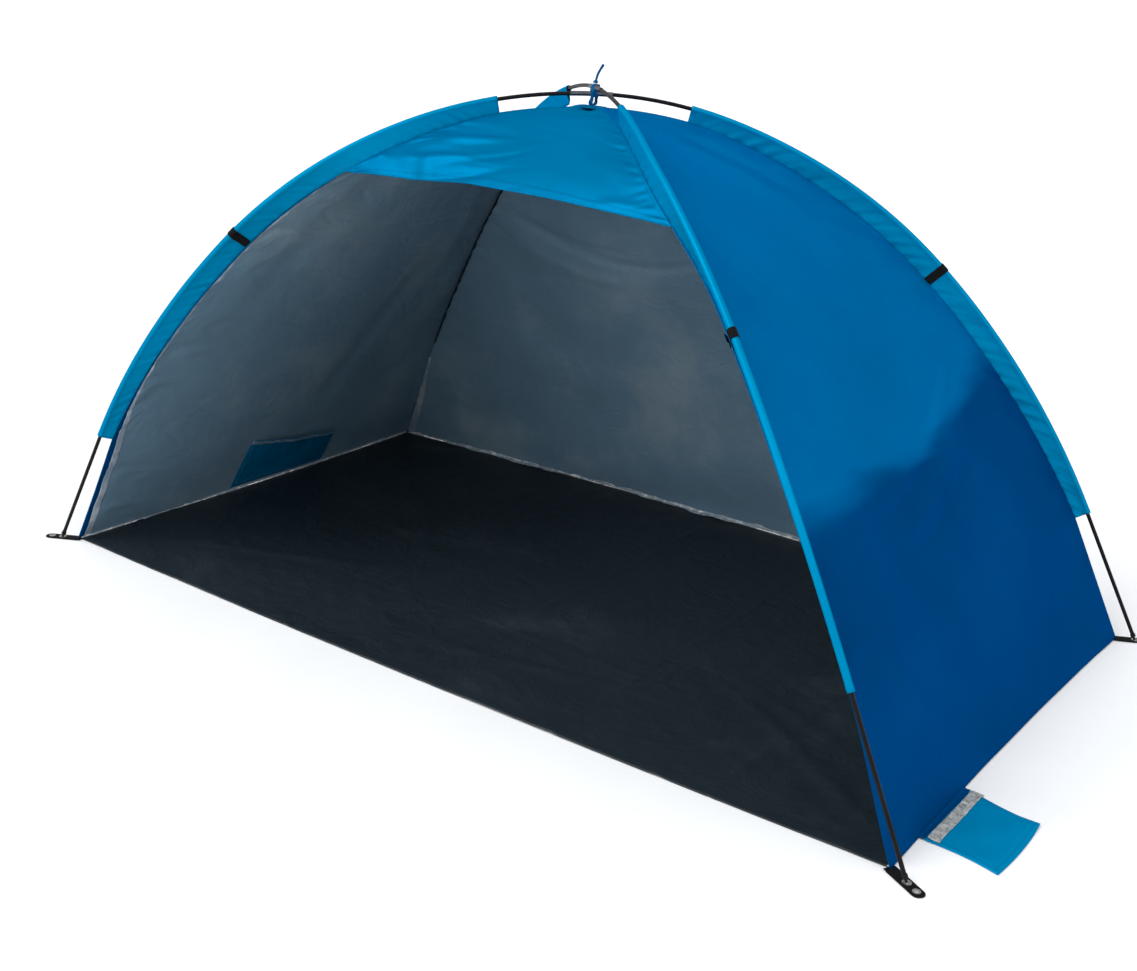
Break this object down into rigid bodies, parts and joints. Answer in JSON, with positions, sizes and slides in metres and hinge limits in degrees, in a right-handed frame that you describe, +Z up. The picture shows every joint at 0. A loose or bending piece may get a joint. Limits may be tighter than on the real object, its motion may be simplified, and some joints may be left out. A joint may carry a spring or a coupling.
{
  "type": "beach shelter",
  "caption": "Open-fronted half-dome beach shelter: two crossed sleeved poles over a tarp canopy with a groundsheet, corner tabs, sand pockets and a storage pocket.",
  "frame": {"origin": "on the ground at the middle of the floor", "axes": "+X along the shelter's length to the right for someone looking in through the open front, +Y to the back, +Z up"},
  "size_m": [2.508, 1.3072, 1.2163],
  "materials": {
    "turquoise_cloth": "satin woven polyester",
    "royal_blue_cloth": "satin woven polyester, grey coating inside",
    "groundsheet_pe": "woven polyethylene",
    "fibreglass": "satin",
    "steel_ferrule": "brushed",
    "elastic_cord": "braided",
    "black_plastic": "matt",
    "black_webbing": "woven webbing",
    "eyelet_metal": "plated",
    "ribbon": "woven ribbon",
    "hook_and_loop": "loop pile",
    "silver_hem": "silver-coated cloth, creased"
  },
  "bodies": {
    "shelter": {"pole_a_section_1": "fibreglass", "pole_a_section_2": "fibreglass", "pole_a_section_3": "fibreglass", "pole_a_section_4": "fibreglass", "pole_a_section_5": "fibreglass", "pole_a_section_6": "fibreglass", "pole_a_ferrules": "steel_ferrule", "pole_a_shock_cord": "elastic_cord", "pole_b_section_1": "fibreglass", "pole_b_section_2": "fibreglass", "pole_b_section_3": "fibreglass", "pole_b_section_4": "fibreglass", "pole_b_section_5": "fibreglass", "pole_b_section_6": "fibreglass", "pole_b_ferrules": "steel_ferrule", "pole_b_shock_cord": "elastic_cord", "pole_tip_front_left": "black_plastic", "sleeve_front_left": "turquoise_cloth", "sleeve_tie_front_left": "black_webbing", "corner_tab_front_left": "black_webbing", "peg_eyelet_front_left": "eyelet_metal", "pole_tip_front_right": "black_plastic", "sleeve_front_right": "turquoise_cloth", "sleeve_tie_front_right": "black_webbing", "corner_tab_front_right": "black_webbing", "peg_eyelet_front_right": "eyelet_metal", "pole_tip_rear_left": "black_plastic", "sleeve_rear_left": "turquoise_cloth", "sleeve_tie_rear_left": "black_webbing", "corner_tab_rear_left": "black_webbing", "peg_eyelet_rear_left": "eyelet_metal", "pole_tip_rear_right": "black_plastic", "sleeve_rear_right": "turquoise_cloth", "sleeve_tie_rear_right": "black_webbing", "corner_tab_rear_right": "black_webbing", "peg_eyelet_rear_right": "eyelet_metal", "pole_eyelets": "eyelet_metal", "left_end_wall": "royal_blue_cloth", "right_end_wall": "royal_blue_cloth", "rear_wall": "royal_blue_cloth", "front_awning": "turquoise_cloth", "peak_patch": "turquoise_cloth", "inner_pocket": "turquoise_cloth", "groundsheet": "groundsheet_pe", "crossing_loop": "ribbon", "crossing_knot": "ribbon", "inner_pocket_hem": "silver_hem"},
    "flap_right": {"sand_pocket_right": "turquoise_cloth", "sand_pocket_strip_right": "hook_and_loop"},
    "flap_left": {"sand_pocket_left": "turquoise_cloth", "sand_pocket_strip_left": "hook_and_loop"},
    "crossing_tail": {"ribbon_tail": "ribbon"},
    "tie_end_front_left": {"tie_tail_front_left": "black_webbing"},
    "tie_end_front_right": {"tie_tail_front_right": "black_webbing"},
    "tie_end_rear_left": {"tie_tail_rear_left": "black_webbing"},
    "tie_end_rear_right": {"tie_tail_rear_right": "black_webbing"}
  },
  "joints": [
    {"name": "sand_pocket_right_fold", "type": "hinge", "parent": "shelter", "child": "flap_right", "pos_m": [1.104, -0.376, 0.0015], "axis": [0, -1, 0], "range_deg": [0, 105]},
    {"name": "sand_pocket_left_fold", "type": "hinge", "parent": "shelter", "child": "flap_left", "pos_m": [-1.104, -0.325, 0.0015], "axis": [0, 1, 0], "range_deg": [0, 105]},
    {"name": "tie_open_front_left", "type": "hinge", "parent": "shelter", "child": "tie_end_front_left", "pos_m": [-0.62834, -0.48988, 0.8128], "axis": [-0.6297, -0.3266, -0.7048], "range_deg": [0, 120]},
    {"name": "tie_open_front_right", "type": "hinge", "parent": "shelter", "child": "tie_end_front_right", "pos_m": [0.62591, -0.48952, 0.82146], "axis": [-0.6361, 0.3146, 0.7046], "range_deg": [0, 120]},
    {"name": "tie_open_rear_left", "type": "hinge", "parent": "shelter", "child": "tie_end_rear_left", "pos_m": [-0.63351, 0.41525, 0.82158], "axis": [0.6273, -0.3448, 0.6983], "range_deg": [0, 120]},
    {"name": "tie_open_rear_right", "type": "hinge", "parent": "shelter", "child": "tie_end_rear_right", "pos_m": [0.63159, 0.41571, 0.81273], "axis": [0.6356, 0.3295, -0.6982], "range_deg": [0, 120]},
    {"name": "ribbon_tail_bend", "type": "hinge", "parent": "shelter", "child": "crossing_tail", "pos_m": [-0.026, 0, 1.17805], "axis": [0, 1, 0], "range_deg": [-100, 45]}
  ]
}
